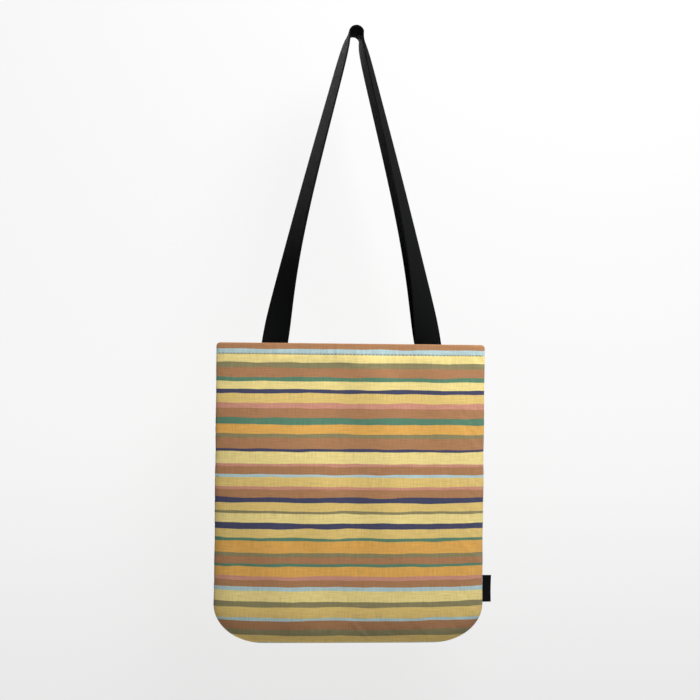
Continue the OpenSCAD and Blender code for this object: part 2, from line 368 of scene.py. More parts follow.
def printed_cloth():
    material, graph = new_material("printed canvas")
    across, down = cloth_place(graph)
    weave = weave_height(across, down, THREAD_PITCH)
    slubs = yarn_slubs(graph, across, down)
    hole_dent_and_shade = needle_holes(across, down)
    colour = painted_stripes(graph, across, down)
    # Painted shade: the weave's low parts and the needle holes are darkened in the colour. The slubs are the
    # canvas's own uneven tone.
    painted_shade_and_yarn_tone = (weave * 0.05 + slubs * 0.46 + 0.54) * (1 - hole_dent_and_shade * 0.40)
    colour = graph.mix(1.0, colour, grey(graph, painted_shade_and_yarn_tone), "MULTIPLY")
    height = weave * 0.5 + slubs * 0.7 - hole_dent_and_shade * 2.5
    shade(graph, colour, 0.88 - weave * 0.04, height, 0.00012, sheen=0.15, sheen_roughness=0.6, specular=0.2)
    return material


def plain_cloth():
    material, graph = new_material("plain canvas")
    across, down = cloth_place(graph)
    weave = weave_height(across, down, THREAD_PITCH)
    slubs = yarn_slubs(graph, across, down)
    shows_through = graph.mix(0.10, srgb(236, 226, 204), painted_stripes(graph, across, down))
    # Painted shade: the weave's low parts are darkened in the colour. The slubs are the canvas's own uneven
    # tone.
    colour = graph.mix(1.0, shows_through, grey(graph, weave * 0.04 + slubs * 0.14 + 0.86), "MULTIPLY")
    height = weave * 0.5 + slubs * 0.6
    shade(graph, colour, 0.92, height, 0.00012, sheen=0.1, sheen_roughness=0.6, specular=0.2)
    return material


PRINTED = printed_cloth()
PLAIN = plain_cloth()
print("printed cloth uses", len(PRINTED.node_tree.nodes), "nodes")

# %% [markdown]
# ## Webbing, ribbon and thread
#
# The handles are black cotton webbing, woven much coarser than the bag: fat warp yarns lie over a
# thin weft, in steps that give small ribs across the strap. The label is a fine black ribbon with
# firm edges, left blank. Threads are twisted, so their bump runs in a slant round them. On all three
# the raised yarns, ribs and twists are painted lighter than the hollows: painted highlight and shade.


# %% Mix the webbing, ribbon and threads
def webbing():
    material, graph = new_material("black webbing")
    across, along = cloth_place(graph)
    column = across / 1.35
    row = along / 2.1 + (column.floor() * 0.5).fract()
    bulge_across = 1 - abs(column.fract() - 0.5) * 2
    bulge_along = 1 - abs(row.fract() - 0.5) * 2
    yarn = bulge_across.root() * 0.7 + bulge_along.root() * 0.5
    fuzz = graph.noise(across / 0.35, along / 0.9, 2.0, 3.0)
    worn = graph.noise(across / 12, along / 40, 9.0) * 0.5 + 0.75
    # Painted highlight and shade: yarn tops are painted lighter and the gaps between yarns darker. The fuzz
    # and the worn noise are the webbing's own uneven tone.
    light = (yarn * 0.55 + fuzz * 0.6) * worn
    colour = graph.mix(light, srgb(1, 1, 2), srgb(13, 14, 14))
    shade(graph, colour, 0.86 - yarn * 0.12, yarn + fuzz * 0.35, 0.00035, sheen=0.015, sheen_roughness=0.5,
          specular=0.06)
    return material


def label_ribbon():
    material, graph = new_material("label ribbon")
    across, along = cloth_place(graph)
    ribs = (across * (math.pi / 0.32)).sin() * 0.5 + (along * (math.pi / 0.45)).sin() * 0.35
    fuzz = graph.noise(across / 0.4, along / 2.5, 5.0)
    # Painted highlight and shade: the ribs' tops are painted lighter than the hollows between them. The fuzz
    # is the ribbon's own uneven tone.
    colour = graph.mix(ribs * 0.3 + fuzz * 0.5 + 0.1, srgb(2, 2, 3), srgb(20, 20, 22))
    shade(graph, colour, 0.6 + fuzz * 0.2, ribs, 0.00010, sheen=0.03, sheen_roughness=0.4, specular=0.12)
    return material


def thread(name, dark, light):
    """A sewing thread, twisted from two plies."""
    material, graph = new_material(name)
    place = graph.add("ShaderNodeTexCoord", {}, {}, output=3)
    split = graph.tree.nodes.new("ShaderNodeSeparateXYZ")
    graph.tree.links.new(place.socket, split.inputs[0])
    x, y, z = (Wire(graph, split.outputs[i]) * 1000 for i in range(3))
    twist = ((x + y * 0.6 + z) * (2 * math.pi / 0.55)).sin()
    fuzz = graph.noise(x / 0.3, z / 0.3, y)
    # Painted highlight and shade: the twist's ridges are painted lighter than its grooves. The fuzz is the
    # thread's own uneven tone.
    colour = graph.mix(twist * 0.25 + fuzz * 0.7 + 0.1, dark, light)
    shade(graph, colour, 0.6 + fuzz * 0.2, twist, 0.00008, sheen=0.2, sheen_roughness=0.5, specular=0.4)
    return material


WEBBING = webbing()
RIBBON = label_ribbon()
HEM_THREAD = thread("hem thread", srgb(166, 146, 104), srgb(222, 204, 158))
SEAM_THREAD = thread("seam thread", srgb(212, 204, 184), srgb(246, 241, 226))
BLACK_THREAD = thread("black thread", srgb(10, 10, 11), srgb(44, 44, 46))
print(len(bpy.data.materials), "materials")

# %% [markdown]
# ## The shape of a panel
#
# A filled-out panel is nearly flat in the middle and closes to a wedge at the side seams, and it
# deepens from the mouth to the belly. The functions below give that shape. A layer is the same shape
# moved inwards by its distance from the cloth's face, so layers never cross, even in the wedge where
# all of them come together.

# %% Define the panel's shape
CLOTH = 0.0008            # thickness of the canvas
FOLD_GAP = 0.0001         # air between the two layers of the hem
FOLD_OUT = CLOTH + FOLD_GAP / 2
FOLD_IN = FOLD_GAP / 2
SIDE_POWER = 3
EDGE_POWER = 0.6


def ease(t):
    return t * t * (3 - 2 * t)


def depth_at(z):
    """How far the middle of a panel stands out from the middle plane."""
    fall = np.clip((HEM_Z - z) / (HEM_Z - CORNER_Z), 0, 1)
    return MOUTH_DEPTH + (BELLY_DEPTH - MOUTH_DEPTH) * ease(fall)


def plan(u):
    """Share of that depth at a share u of the half width."""
    return np.clip(1 - np.abs(u) ** SIDE_POWER, 0, 1) ** EDGE_POWER


def waves(place, shortest, longest, seed, count=9):
    """A smooth irregular line of height about 1, summed from sines between two wavelengths."""
    draw = np.random.default_rng(seed)
    total = np.zeros_like(place)
    for length in np.geomspace(shortest, longest, count):
        total += np.sin(2 * np.pi * (place / length + draw.random())) * draw.uniform(0.6, 1.0)
    return total / math.sqrt(count)


def drape(x, down, seed):
    """Broad soft undulations of hanging cloth, about 1 high, longer up and down than across."""
    draw = np.random.default_rng(seed)
    total = np.zeros_like(x * down)
    for length in np.geomspace(0.07, 0.30, 9):
        lean = draw.uniform(-0.45, 0.45)
        total = total + np.sin(2 * np.pi * ((x + lean * down) / length + draw.random()
                                            + 0.12 * np.sin(2 * np.pi * (down / 0.23 + draw.random()))))
    return total / 3


def near(distance, reach):
    """1 at a line, falling smoothly to nothing a few reaches away."""
    return np.exp(-(distance / reach) ** 2)


def relief(x, down, seed):
    """Folds and puckers of a panel, as metres that the cloth stands out or in."""
    from_side = HALF_WIDTH - np.abs(x)
    from_bottom = (HEM_Z - BOTTOM_Z) - down
    from_seam = np.minimum(from_side, from_bottom)
    along_seam = down - np.abs(x)
    soft = ease(np.clip(down / 0.04, 0, 1)) * ease(np.clip(from_seam / 0.03, 0, 1))
    folds = 0.0020 * drape(x, down, seed) * soft
    hollow = -0.0010 * near(x, 0.055) * np.exp(-down / 0.10)
    over_strap = ease(np.clip((STRAP_WIDTH / 2 + 0.003 - np.abs(np.abs(x) - STRAP_X)) / 0.005, 0, 1))
    strap_press = 0.00030 * over_strap * ease(np.clip((STRAP_END + 0.004 - down) / 0.006, 0, 1))
    pull = 0.0005 * near(np.abs(x) - STRAP_X, 0.020) * np.exp(-((down - 0.03) / 0.05) ** 2)
    hem_band = 0.00022 * ease(np.clip((HEM_STITCH - down) / 0.002, 0, 1))
    groove = -0.00028 * near(down - HEM_STITCH, 0.0010)
    below = 0.00022 * near(down - HEM_STITCH - 0.006, 0.005)
    hem_pucker = 0.00034 * waves(x, 0.008, 0.024, seed + 1) * near(down - HEM_STITCH, 0.010)
    seam_pucker = (0.0015 * waves(along_seam, 0.011, 0.034, seed + 2) * np.exp(-from_seam / 0.016)
                   * ease(np.clip(down / 0.03, 0, 1)))
    return folds + hollow + strap_press + pull + hem_band + groove + below + hem_pucker + seam_pucker


TOP_CORNER = 0.0045       # radius of the mouth's soft corners


def outline(half, z):
    """The side seam isn't quite straight: both panels share this line."""
    down = np.asarray(HEM_Z - z)
    near_top = np.clip(TOP_CORNER - down, 0, TOP_CORNER)
    half = half - (TOP_CORNER - np.sqrt(TOP_CORNER ** 2 - near_top ** 2))
    fade = ease(np.clip(down / 0.05, 0, 1))
    return half + (0.00035 * waves(down, 0.05, 0.17, 31) + 0.00010 * waves(down, 0.008, 0.02, 32)) * fade


# %% [markdown]
# ## The two panels with their hems
#
# Each panel is one piece of canvas: it rises from the bottom seam, folds over at the mouth and runs
# down inside as the hem's facing. So the mesh is one sheet too, a grid with a face side and a
# reverse. The print goes over the fold, as it would on the real cloth. At the seams the edge rolls
# inwards, which leaves the fine groove that a sewn edge shows.

# %% Define how a sheet of cloth becomes a mesh
def link(name, mesh, body=None):
    """Puts a mesh into the scene as an object, and lets it ride on a body."""
    obj = bpy.data.objects.new(name, mesh)
    bpy.context.scene.collection.objects.link(obj)
    if body:
        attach(obj, body)
    return obj


def join(pieces):
    """Makes one object of several, and gives it back."""
    with bpy.context.temp_override(active_object=pieces[0], object=pieces[0], selected_objects=pieces,
                                   selected_editable_objects=pieces):
        bpy.ops.object.join()
    return pieces[0]


def two_sided(name, face, reverse, place, face_material, reverse_material, sharp=50):
    """A closed body of two matching grids of points. place is where each point lies on flat cloth."""
    rows, columns = face.shape[:2]
    count = rows * columns
    ids = np.arange(count).reshape(rows, columns)
    front = np.stack([ids[:-1, :-1], ids[:-1, 1:], ids[1:, 1:], ids[1:, :-1]], -1).reshape(-1, 4)
    border = np.concatenate([ids[0], ids[1:, -1], ids[-1, -2::-1], ids[-2:0:-1, 0]])
    after = np.roll(border, -1)
    rim = np.stack([after, border, border + count, after + count], -1)
    quads = np.concatenate([front, front[:, ::-1] + count, rim])
    points = np.concatenate([face.reshape(-1, 3), reverse.reshape(-1, 3)])
    a, b, c, d = (points[quads[:, i]] for i in range(4))
    volume = np.einsum("ij,ij->", a, np.cross(b, c)) + np.einsum("ij,ij->", a, np.cross(c, d))
    if volume < 0:
        quads = quads[:, ::-1]
    mesh = bpy.data.meshes.new(name)
    mesh.from_pydata(points, [], quads.tolist())
    flat = np.concatenate([place.reshape(-1, 2)] * 2)
    layer = mesh.uv_layers.new(name="cloth")
    corner = np.empty(len(mesh.loops), dtype=np.int32)
    mesh.loops.foreach_get("vertex_index", corner)
    layer.data.foreach_set("uv", flat[corner].astype(np.float32).ravel())
    mesh.materials.append(face_material)
    if reverse_material is not face_material:
        mesh.materials.append(reverse_material)
        kinds = np.zeros(len(quads), dtype=np.int32)
        kinds[len(front):] = 1
        mesh.polygons.foreach_set("material_index", kinds)
    mesh.shade_smooth()
    mesh.set_sharp_from_angle(angle=math.radians(sharp))
    return mesh


# %% Lay out a panel's grid
COLUMNS = 206
ROW_STEP = 0.0026


def column_shares():
    """Shares of the half width, so that columns are equally far apart along the curved cloth."""
    u = np.sin(np.linspace(-np.pi / 2, np.pi / 2, 4001))
    x, y = u * HALF_WIDTH, BELLY_DEPTH * plan(u)
    length = np.concatenate([[0], np.cumsum(np.hypot(np.diff(x), np.diff(y)))])
    return np.interp(np.linspace(0, length[-1], COLUMNS), length, u)


def panel_rows():
    """Rows from the facing's edge, over the fold, and down to the bottom seam.

    Each is (z of face, inset of face, z of reverse, inset of reverse, corner angle, roll-in)."""
    rows = []
    top = HEM_Z - FOLD_OUT
    for drop in np.linspace(HEM_HEIGHT - FOLD_OUT, 0, 9)[:-1]:
        rows.append((top - drop, 2 * FOLD_OUT, top - drop, FOLD_OUT + FOLD_IN, 0, 0))
    for turn in np.linspace(np.pi, 0, 9):
        rows.append((top + FOLD_OUT * math.sin(turn), FOLD_OUT * (1 - math.cos(turn)),
                     top + FOLD_IN * math.sin(turn), FOLD_OUT - FOLD_IN * math.cos(turn), 0, 0))
    fine = np.arange(top - 0.0009, HEM_Z - 0.023, -0.0009)
    coarse = np.linspace(fine[-1], CORNER_Z, int((fine[-1] - CORNER_Z) / ROW_STEP))[1:]
    for z in (*fine, *coarse):
        rows.append((z, 0, z, CLOTH, 0, 0))
    for turn in np.linspace(0, np.pi / 2, 25)[1:]:
        rows.append((CORNER_Z, 0, CORNER_Z, CLOTH, turn, 0))
    for roll in (1, 2):
        rows.append((CORNER_Z, 0, CORNER_Z, CLOTH, np.pi / 2, roll))
    return rows


ROLL_INSET = np.array([0, 0.00012, 0.0005])
ROLL_GAP = np.array([SEAM_GAP, 0.00013, 0.00008])


def skin(rows, shares, column_roll, reverse, seed):
    """Points of the front panel's face or reverse as a grid."""
    first = 2 if reverse else 0
    z, inset = (np.array([row[first + i] for row in rows]) for i in (0, 1))
    turn, row_roll = (np.array([row[i] for row in rows]) for i in (4, 5))
    roll = np.maximum(row_roll[:, None], column_roll[None, :])
    inset = inset[:, None] + ROLL_INSET[roll] * (0.4 if reverse else 1)
    sine, cosine = np.sin(turn)[:, None], np.cos(turn)[:, None]
    height = z[:, None] - (CORNER_HEIGHT - inset) * sine
    half = outline(HALF_WIDTH, z)[:, None] - inset - CORNER_WIDTH * (1 - cosine)
    x = half * shares[None, :]
    stands_out = depth_at(z)[:, None] - inset + relief(x, HEM_Z - height, seed)
    y = -ROLL_GAP[roll] - stands_out * cosine * plan(shares)[None, :]
    return np.stack([x, y, height], -1)


def cloth_coordinates(points):
    """Across and down on flat cloth, in metres, for the grid of a panel's face."""
    step = np.linalg.norm(np.diff(points, axis=1), axis=2)
    across = np.concatenate([np.zeros((len(points), 1)), np.cumsum(step, axis=1)], axis=1)
    across -= across[:, points.shape[1] // 2][:, None]
    middle = points[:, points.shape[1] // 2]
    down = np.concatenate([[0], np.cumsum(np.linalg.norm(np.diff(middle, axis=0), axis=1))])
    crest = int(np.argmax(middle[:, 2]))
    down -= down[crest]
    return np.stack([across, np.broadcast_to(down[:, None], across.shape)], -1)


def make_panel(name, side, seed):
    """One panel with its hem. side is 1 for the front and -1 for the back."""
    inner = column_shares()
    shares = np.concatenate([[-1, -1], inner, [1, 1]])
    column_roll = np.concatenate([[2, 1], np.zeros(len(inner), dtype=int), [1, 2]])
    rows = panel_rows()
    face = skin(rows, shares, column_roll, False, seed)
    reverse = skin(rows, shares, column_roll, True, seed)
    place = cloth_coordinates(face)
    for points in (face, reverse):
        points[..., 1] *= side
    if side < 0:
        place[..., 0] *= -1
    mesh = two_sided(name, face, reverse, place, PRINTED, PLAIN)
    return link(name, mesh), face, place


FRONT_SEED, BACK_SEED = 5, 60
front_cloth, front_face, front_place = make_panel("front_canvas", 1, FRONT_SEED)
back_cloth, back_face, back_place = make_panel("back_canvas", -1, BACK_SEED)
print("a panel has", len(front_cloth.data.polygons), "faces and is cut",
      [round(1000 * float(np.ptp(front_place[..., i]))) for i in range(2)], "mm")

# %% [markdown]
# ## The panels in place
#
# When the mouth opens, a panel swings about the bottom seam, but its sewn edges can't leave the
# seams. Here each panel is only fixed in place where it was made, and the frame's own panel and hem
# are hidden.

# %% Fix the panels in place
BLEND_END = 0.007         # how far from the middle plane a bent panel would follow its face fully


def cloth_blend(obj, side):
    """Bakes where one panel's cloth or thread lies into its mesh."""
    -side * SEAM_GAP
    -side * BLEND_END
    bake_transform(obj)


for cloth, side, word in ((front_cloth, 1, "front"), (back_cloth, -1, "back")):
    cloth_blend(cloth, side)
    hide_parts(word + "_panel", word + "_hem")

# %% [markdown]
# ## Handles
#
# A handle is one length of webbing, sewn inside the hem at one foot, led over the peg and down to
# the other foot. On a narrow peg the two handles lie side by side, so each strap hangs edge-on there
# and turns flat by the time it reaches the hem. It is swept as a section with rounded edges, whose
# rings carry that turn.

# %% Sweep the handles
STRAP_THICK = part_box("front_handle")[1].z - PEG_RADIUS
HANDLE_GAP = -2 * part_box("front_handle")[1].y
STRAP_INSET = 2 * CLOTH + 0.0003
LEAVE = math.radians(76)
CROWN = PEG_RADIUS + STRAP_THICK / 2
HEM_SLOPE = 0.14
LEG_TOP = Vector((-CROWN * math.sin(LEAVE), 0, CROWN * math.cos(LEAVE)))
LEG_FALL = LEG_TOP.z - (HEM_Z + 0.0005)
LEG_SLOPE = math.cos(LEAVE) / math.sin(LEAVE)


def inside_panel(x, z, inset):
    """y of a layer that lies a distance inside the front panel's face."""
    stands_out = depth_at(np.asarray(z)) - inset + relief(np.asarray(x), HEM_Z - np.asarray(z), FRONT_SEED)
    return -SEAM_GAP - stands_out * plan(np.asarray(x) / HALF_WIDTH)


FOOT_Y = -SEAM_GAP - MOUTH_DEPTH * float(plan(STRAP_X / HALF_WIDTH)) + STRAP_INSET + STRAP_THICK / 2


def leg_x(t):
    return (LEG_TOP.x * (1 + t * t * (2 * t - 3)) - STRAP_X * ease(t)
            - LEG_SLOPE * LEG_FALL * t * (1 - t) ** 2 - HEM_SLOPE * LEG_FALL * t * t * (t - 1))


def leg_turn(t):
    """Angle by which the webbing has turned from edge-on at the peg to flat at the hem."""
    return math.radians(14 * (1 - math.exp(-t / 0.03)) / (1 - math.exp(-1 / 0.03)) + 24 * t + 52 * t ** 6)


def leg_y(t):
    turn = leg_turn(t)
    return (-(STRAP_WIDTH * math.cos(turn) + STRAP_THICK * math.sin(turn) + HANDLE_GAP) / 2
            + (FOOT_Y + (STRAP_THICK + HANDLE_GAP) / 2) * t ** 8)


def left_leg_ring(t):
    """Middle, broad direction and outward direction of the left leg, t from 0 at the peg to 1 at the hem."""
    lean = math.atan2(leg_x(min(t, 0.998)) - leg_x(min(t, 0.998) + 0.002), 0.002 * LEG_FALL)
    lean = math.pi / 2 - LEAVE if t == 0 else lean * (1 - ease(max(0, (t - 0.9) / 0.1)))
    turn = leg_turn(t)
    return (Vector((leg_x(t), leg_y(t), LEG_TOP.z - LEG_FALL * t)),
            Vector((math.sin(turn) * math.cos(lean), -math.cos(turn), -math.sin(turn) * math.sin(lean))),
            Vector((-math.cos(turn) * math.cos(lean), -math.sin(turn), math.cos(turn) * math.sin(lean))))


def foot_ring(z):
    """The same for the left foot, inside the hem."""
    reach = STRAP_WIDTH / 2
    inset = STRAP_INSET + STRAP_THICK / 2
    left = Vector((-STRAP_X - reach, float(inside_panel(-STRAP_X - reach, z, inset)), z))
    right = Vector((-STRAP_X + reach, float(inside_panel(-STRAP_X + reach, z, inset)), z))
    wide = (right - left).normalized()
    return (left + right) / 2, wide, Vector((wide.y, -wide.x, 0))


def strap_rings():
    """All rings of the front handle, from the left foot over the peg to the right foot."""
    foot = [foot_ring(HEM_Z - drop) for drop in np.linspace(STRAP_END, 0.001, 9)]
    leg = [left_leg_ring(t) for t in np.linspace(1, 0, 150)]
    flip = Matrix.Diagonal((-1, 1, 1))
    left = foot + leg
    other = [(flip @ m, flip @ w, flip @ t) for m, w, t in reversed(left)]
    crown_y = -(STRAP_WIDTH + HANDLE_GAP) / 2
    crown = []
    for angle in np.linspace(-LEAVE, LEAVE, 19)[1:-1]:
        out = Vector((math.sin(angle), 0, math.cos(angle)))
        crown.append((out * CROWN + Vector((0, crown_y, 0)), Vector((0, -1, 0)), out))
    return left + crown + other


def section(width, thick, edge=0.0008, per_corner=4, per_face=9):
    """Points of a strap's section, rounded at its edges, as (across, out)."""
    corners = []
    for cx, cy, start in ((1, 1, 0), (-1, 1, 90), (-1, -1, 180), (1, -1, 270)):
        arc = [(cx * (width / 2 - edge) + edge * math.cos(math.radians(start + 90 * i / per_corner)),
                cy * (thick / 2 - edge) + edge * math.sin(math.radians(start + 90 * i / per_corner)))
               for i in range(per_corner + 1)]
        corners.append(arc)
    points = []
    for arc, following in zip(corners, corners[1:] + corners[:1]):
        points += arc
        gap = math.dist(arc[-1], following[0])
        if gap > width / 2:
            points += [tuple(np.array(arc[-1]) + (np.array(following[0]) - np.array(arc[-1])) * i / per_face)
                       for i in range(1, per_face)]
    return np.array(points)


def sweep(name, rings, profile, material, side):
    """A closed body swept along rings, with its perimeter and its length as cloth coordinates."""
    middles = np.array([ring[0] for ring in rings])
    broad = np.array([ring[1] for ring in rings])
    out = np.array([ring[2] for ring in rings])
    points = middles[:, None] + broad[:, None] * profile[None, :, :1] + out[:, None] * profile[None, :, 1:]
    points[..., 1] *= side
    n_rings, n_around = points.shape[:2]
    ids = np.arange(n_rings * n_around).reshape(n_rings, n_around)
    following = np.roll(ids, -1, axis=1)
    quads = np.stack([ids[:-1], following[:-1], following[1:], ids[1:]], -1).reshape(-1, 4).tolist()
    caps = [ids[0][::-1].tolist(), ids[-1].tolist()]
    flat = points.reshape(-1, 3)
    a, b, c = (flat[np.array(quads)[:, i]] for i in (0, 1, 2))
    from_middle = (a + c) / 2 - np.repeat((middles * (1, side, 1))[:-1], n_around, axis=0)
    if np.einsum("ij,ij->", np.cross(b - a, c - a), from_middle) < 0:
        quads = [quad[::-1] for quad in quads]
        caps = [cap[::-1] for cap in caps]
    mesh = bpy.data.meshes.new(name)
    mesh.from_pydata(flat, [], quads + caps)
    around = np.concatenate([[0], np.cumsum(np.linalg.norm(np.diff(profile, axis=0), axis=1))])
    along = np.concatenate([[0], np.cumsum(np.linalg.norm(np.diff(middles, axis=0), axis=1))])
    whole = around[-1] + float(np.linalg.norm(profile[-1] - profile[0]))
    layer = mesh.uv_layers.new(name="cloth")
    for polygon in mesh.polygons:
        columns = [mesh.loops[i].vertex_index % n_around for i in polygon.loop_indices]
        wraps = len(columns) == 4 and 0 in columns and n_around - 1 in columns
        for i, column in zip(polygon.loop_indices, columns):
            ring = mesh.loops[i].vertex_index // n_around
            layer.data[i].uv = (whole if wraps and column == 0 else around[column], along[ring])
    mesh.materials.append(material)
    mesh.shade_smooth()
    mesh.set_sharp_from_angle(angle=math.radians(50))
    return mesh, float(along[-1])


strap_profile = section(STRAP_WIDTH, STRAP_THICK)
for side, word in ((1, "front"), (-1, "back")):
    mesh, length = sweep(word + "_strap", strap_rings(), strap_profile, WEBBING, side)
    strap = link(word + "_strap", mesh)
    word + "_face"
    word + "_handle"
    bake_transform(strap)
    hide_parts(word + "_handle", word + "_left_handle_end", word + "_right_handle_end")
print("each handle is cut", round(1000 * length), "mm long and has", len(mesh.polygons), "faces")

# %% [markdown]
# ## Seam allowances
#
# Inside the bag, the edges of both panels stand in from the seam as a double strip, ten millimetres
# wide. One strip runs down the left side, round the corners and up the right side. Each layer is
# its own sheet, with the small waves that an overlocked edge has.

# %% Make the seam allowances
ALLOWANCE_WIDTH = seam_high.x - seam_low.x
ALLOWANCE_THICK = seam_high.y - seam_low.y
ALLOWANCE_IN = HALF_WIDTH + seam_low.x       # from the bag's outline to the strip


def allowance_path(inset):
    """Points of the strip's line at a distance inside the bag's outline, from the left hem to the right."""
    side = [(-(HALF_WIDTH - inset), z) for z in np.linspace(seam_high.z, CORNER_Z, 90)[:-1]]
    corner = [(-(HALF_WIDTH - inset - CORNER_WIDTH * (1 - math.cos(a))),
               CORNER_Z - (CORNER_HEIGHT - inset) * math.sin(a)) for a in np.linspace(0, np.pi / 2, 26)]
    left = side + corner
    middle = [(x, BOTTOM_Z + inset) for x in np.linspace(left[-1][0], 0, 40)[1:]]
    half = left + middle
    return np.array(half + [(-x, z) for x, z in reversed(half[:-1])])


def allowance_layer(side):
    """Face and reverse of one of the two layers."""
    insets = np.linspace(ALLOWANCE_IN, ALLOWANCE_IN + ALLOWANCE_WIDTH, 7)
    lines = np.stack([allowance_path(inset) for inset in insets], axis=1)
    step = np.linalg.norm(np.diff(lines[:, 3], axis=0), axis=1)
    along = np.concatenate([[0], np.cumsum(step)])
    free = np.linspace(0, 1, 7)[None, :]
    wave = 0.00022 * waves(along, 0.012, 0.04, 71)[:, None] * free
    skins = []
    for offset in (0.00004, ALLOWANCE_THICK / 2 - 0.00004):
        y = -side * offset + wave * (0.9 if offset < 0.0002 else 1.0)
        skins.append(np.stack([lines[..., 0], np.broadcast_to(y, lines.shape[:2]), lines[..., 1]], -1))
    place = np.stack(np.broadcast_arrays((insets - insets[0])[None, :], along[:, None]), -1)
    return skins, place, along


layers = []
for side, word in ((1, "front"), (-1, "back")):
    (inner, outer), place, along = allowance_layer(side)
    mesh = two_sided("seam_layer", outer, inner, place, PLAIN, PLAIN)
    layers.append(link("seam_layer_" + word, mesh))
seam = join(layers)
seam.name = "seam_allowances"
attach(seam, "bag")
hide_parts("left_side_seam", "right_side_seam", "bottom_seam")
print("the seam strip is", round(1000 * along[-1]), "mm long")

# %% [markdown]
# ## Stitches
#
# A row of stitches is the same short arc of thread, again and again along a line, so it is a small
# Geometry Nodes tree. The tree takes a line whose points know which way is out of the cloth, sets
# points along it one pitch apart, and puts a stitch on each. The inputs have names, so one tree
# makes the hem's stitches, the seam's, the strap tacks and, with a different arc, the overlocking.

# %% Build the stitch tree
STITCH_INPUTS = {"Pitch": 0.0046, "Run": 0.0034, "Thread radius": 0.00023, "Lift": 0.00025,
                 "Slant": 0.0, "Reach": 0.0, "Irregular": 0.06}


def stitch_tree():
    """Instances one arc of thread along each line of a mesh, and makes them real."""
    tree = bpy.data.node_groups.new("stitch row", "GeometryNodeTree")
    tree.interface.new_socket("Geometry", in_out="INPUT", socket_type="NodeSocketGeometry")
    for name, value in STITCH_INPUTS.items():
        socket = tree.interface.new_socket(name, in_out="INPUT", socket_type="NodeSocketFloat")
        socket.default_value = value
    tree.interface.new_socket("Thread", in_out="INPUT", socket_type="NodeSocketMaterial")
    tree.interface.new_socket("Geometry", in_out="OUTPUT", socket_type="NodeSocketGeometry")
    graph = Graph(tree)
    given = tree.nodes.new("NodeGroupInput")
    wire = {socket.name: Wire(graph, socket) for socket in given.outputs if socket.name}
    line = graph.add("GeometryNodeMeshToCurve", {}, {"Mesh": wire["Geometry"]})
    line = graph.add("GeometryNodeResampleCurve", {"mode": "LENGTH"},
                     {"Curve": line, "Length": wire["Pitch"]})
    out = graph.add("GeometryNodeInputNamedAttribute", {"data_type": "FLOAT_VECTOR"}, {"Name": "out"})
    run = graph.add("GeometryNodeInputTangent")
    turn = graph.add("FunctionNodeAxesToRotation", {"primary_axis": "Z", "secondary_axis": "X"},
                     {"Primary Axis": out, "Secondary Axis": run})
    half = wire["Run"] * 0.5
    slant = wire["Slant"] * 0.5

    def spot(x, y, z):
        return graph.add("ShaderNodeCombineXYZ", {}, {"X": x, "Y": y, "Z": z})

    low = wire["Thread radius"] * -0.5
    arc = graph.add("GeometryNodeCurvePrimitiveBezierSegment", {}, {
        "Resolution": 7,
        "Start": spot(-half, -slant + wire["Reach"], low),
        "Start Handle": spot(half * -0.6, slant * -0.6 - wire["Reach"] * 0.6, wire["Lift"] * 1.3),
        "End Handle": spot(half * 0.6, slant * 0.6 - wire["Reach"] * 0.6, wire["Lift"] * 1.3),
        "End": spot(half, slant, low)})
    ring = graph.add("GeometryNodeCurvePrimitiveCircle", {},
                     {"Resolution": 6, "Radius": wire["Thread radius"]})
    stitch = graph.add("GeometryNodeCurveToMesh", {},
                       {"Curve": arc, "Profile Curve": ring, "Fill Caps": True})
    spread = wire["Irregular"]
    size = graph.add("FunctionNodeRandomValue", {"data_type": "FLOAT_VECTOR"}, {
        "Min": spot(1 - spread, 1 - spread, 1 - spread),
        "Max": spot(1 + spread, 1 + spread, 1 + spread), "Seed": 7})
    row = graph.add("GeometryNodeInstanceOnPoints", {},
                    {"Points": line, "Instance": stitch, "Rotation": turn, "Scale": size})
    real = graph.add("GeometryNodeRealizeInstances", {}, {"Geometry": row})
    smooth = graph.add("GeometryNodeSetShadeSmooth", {}, {"Geometry": real})
    done = graph.add("GeometryNodeSetMaterial", {}, {"Geometry": smooth, "Material": wire["Thread"]})
    tree.links.new(done.socket, tree.nodes.new("NodeGroupOutput").inputs[0])
    return tree


STITCHES = stitch_tree()


def stitch_rows(name, lines, material, **inputs):
    """A plain mesh of stitches along lines, each a pair (points, outward directions)."""
    points, outs, edges = [], [], []
    for line, out in lines:
        start = len(points)
        points += [tuple(p) for p in line]
        outs += [tuple(o) for o in out]
        edges += [(start + i, start + i + 1) for i in range(len(line) - 1)]
    mesh = bpy.data.meshes.new(name + "_line")
    mesh.from_pydata(points, edges, [])
    layer = mesh.attributes.new("out", "FLOAT_VECTOR", "POINT")
    layer.data.foreach_set("vector", np.array(outs, dtype=np.float32).ravel())
    guide = link(name + "_line", mesh)
    modifier = guide.modifiers.new("stitches", "NODES")
    modifier.node_group = STITCHES
    given = {socket.name: socket.identifier for socket in STITCHES.interface.items_tree
             if socket.in_out == "INPUT"}
    wanted = {key.replace("_", " ").capitalize(): value for key, value in inputs.items()}
    for key, value in {**STITCH_INPUTS, **wanted}.items():
        modifier[given[key]] = value
    modifier[given["Thread"]] = material
    depsgraph = bpy.context.evaluated_depsgraph_get()
    made = bpy.data.meshes.new_from_object(guide.evaluated_get(depsgraph), depsgraph=depsgraph)
    made.name = name
    bpy.data.objects.remove(guide)
    return made


# %% [markdown]
# ### Hem stitches
#
# The hem is held by one row of lockstitch. On the outside it shows as short dashes in a straw
# thread. The line is taken from the finished cloth, so the thread lies in the groove it pulls.


